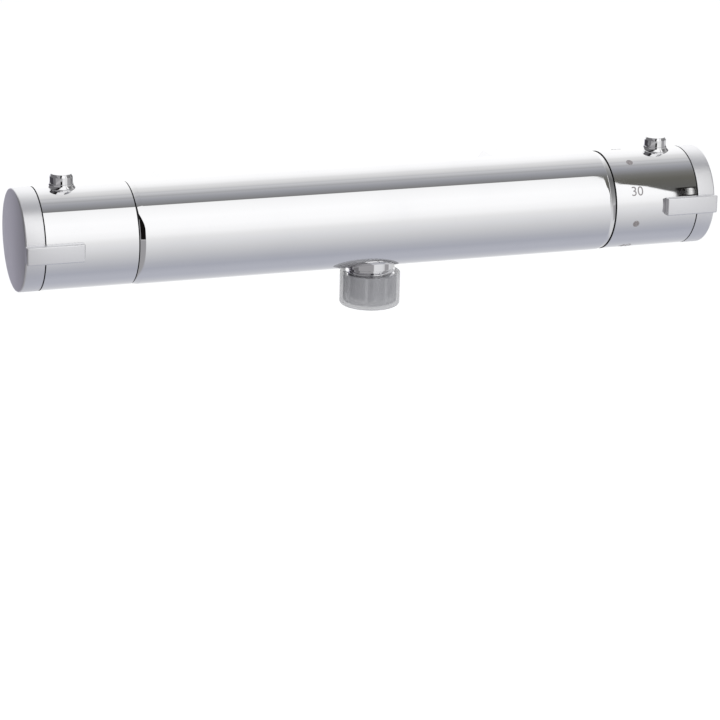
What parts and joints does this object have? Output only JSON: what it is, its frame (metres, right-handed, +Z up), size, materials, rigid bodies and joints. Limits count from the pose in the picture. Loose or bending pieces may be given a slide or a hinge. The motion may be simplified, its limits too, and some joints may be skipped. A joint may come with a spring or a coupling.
{
  "type": "thermostatic shower valve",
  "caption": "Bar-shaped chrome thermostatic shower mixing valve with flow and temperature handles, two wall unions behind and a threaded outlet below.",
  "frame": {"origin": "midway between the two wall unions, in the plane of their open ends", "axes": "+X along the bar towards the temperature handle, +Y into the wall, +Z up"},
  "size_m": [0.304, 0.065, 0.0652],
  "materials": {
    "chrome": "polished electroplated chrome",
    "satin_chrome": "fine satin chrome, soft reflections",
    "brass": "machined, plain",
    "rubber": "moulded EPDM, dull black",
    "white_plastic": "moulded acetal, white",
    "steel": "stainless wire, turned and punched parts",
    "clear_plastic": "translucent moulded polyethylene",
    "black_plastic": "moulded glass-filled nylon, black",
    "cartridge_plastic": "moulded polyphenylene sulphide, dark grey",
    "ceramic": "lapped alumina, off-white",
    "copper": "drawn copper alloy capsule"
  },
  "bodies": {
    "valve_body": {"body_shell": "chrome", "waterway_core": "brass", "inlet_tail_hot": "chrome", "inlet_tail_cold": "chrome", "inlet_o_rings": "rubber", "check_valve_housings": "white_plastic", "check_spring_hot": "steel", "check_spring_cold": "steel", "filter_washers": "rubber", "outlet_stub": "chrome", "outlet_o_ring": "rubber", "flow_glide_ring": "black_plastic", "flow_cartridge_body": "cartridge_plastic", "flow_port_seal": "rubber", "flow_fixed_disc": "ceramic", "flow_retaining_nut": "brass", "flow_stop_ring": "black_plastic", "temp_glide_ring": "black_plastic", "thermostat_body": "cartridge_plastic", "thermostat_o_rings": "rubber", "thermostat_screen": "steel", "return_spring": "steel", "temp_retaining_nut": "brass", "temp_stop_ring": "black_plastic"},
    "flow_knob": {"flow_handle": "chrome", "flow_end_cap": "satin_chrome", "flow_hub": "black_plastic", "flow_handle_screw": "steel", "flow_spindle": "brass", "flow_moving_disc": "ceramic", "flow_button_collar": "chrome", "flow_button_spring": "steel"},
    "flow_override": {"flow_button": "chrome"},
    "temp_knob": {"temp_handle": "chrome", "temp_end_cap": "satin_chrome", "temp_hub": "black_plastic", "temp_handle_screw": "steel", "temp_spindle": "brass", "temp_button_collar": "chrome", "temp_button_spring": "steel"},
    "temp_override": {"temp_button": "chrome"},
    "regulator": {"regulating_slide": "cartridge_plastic", "wax_element": "copper", "lift_nut": "brass"},
    "hot_nut": {"union_nut_hot": "chrome"},
    "cold_nut": {"union_nut_cold": "chrome"},
    "hot_check": {"check_poppet_hot": "white_plastic"},
    "cold_check": {"check_poppet_cold": "white_plastic"},
    "outlet_protector": {"thread_protector": "clear_plastic"}
  },
  "joints": [
    {"name": "flow_turn", "type": "hinge", "parent": "valve_body", "child": "flow_knob", "pos_m": [0, -0.041, 0], "axis": [-1, 0, 0], "range_deg": [0, 90]},
    {"name": "temp_turn", "type": "hinge", "parent": "valve_body", "child": "temp_knob", "pos_m": [0, -0.041, 0], "axis": [-1, 0, 0], "range_deg": [-105, 130]},
    {"name": "flow_button_press", "type": "slide", "parent": "flow_knob", "child": "flow_override", "axis": [0, 0, -1], "range_m": [0, 0.0018], "stiffness_N_per_m": 900, "springref_m": -0.0012, "deforming": ["flow_button_spring"]},
    {"name": "temp_button_press", "type": "slide", "parent": "temp_knob", "child": "temp_override", "axis": [0, 0, -1], "range_m": [0, 0.0018], "stiffness_N_per_m": 900, "springref_m": -0.0012, "deforming": ["temp_button_spring"]},
    {"name": "hot_nut_turn", "type": "hinge", "parent": "valve_body", "child": "hot_nut", "pos_m": [-0.075, 0, 0], "axis": [0, 1, 0], "continuous": true},
    {"name": "cold_nut_turn", "type": "hinge", "parent": "valve_body", "child": "cold_nut", "pos_m": [0.075, 0, 0], "axis": [0, 1, 0], "continuous": true},
    {"name": "hot_check_open", "type": "slide", "parent": "valve_body", "child": "hot_check", "axis": [0, -1, 0], "range_m": [0, 0.003], "stiffness_N_per_m": 150, "springref_m": -0.002, "deforming": ["check_spring_hot"]},
    {"name": "cold_check_open", "type": "slide", "parent": "valve_body", "child": "cold_check", "axis": [0, -1, 0], "range_m": [0, 0.003], "stiffness_N_per_m": 150, "springref_m": -0.002, "deforming": ["check_spring_cold"]},
    {"name": "regulation", "type": "slide", "parent": "valve_body", "child": "regulator", "axis": [1, 0, 0], "range_m": [-0.0019, 0.0023], "deforming": ["return_spring"]},
    {"name": "protector_pull", "type": "slide", "parent": "valve_body", "child": "outlet_protector", "axis": [0, 0, -1], "range_m": [0, 0.02]}
  ],
  "couplings": [
    {"joint": "regulation", "follows": "temp_turn", "m_per_rad": 0.001}
  ]
}
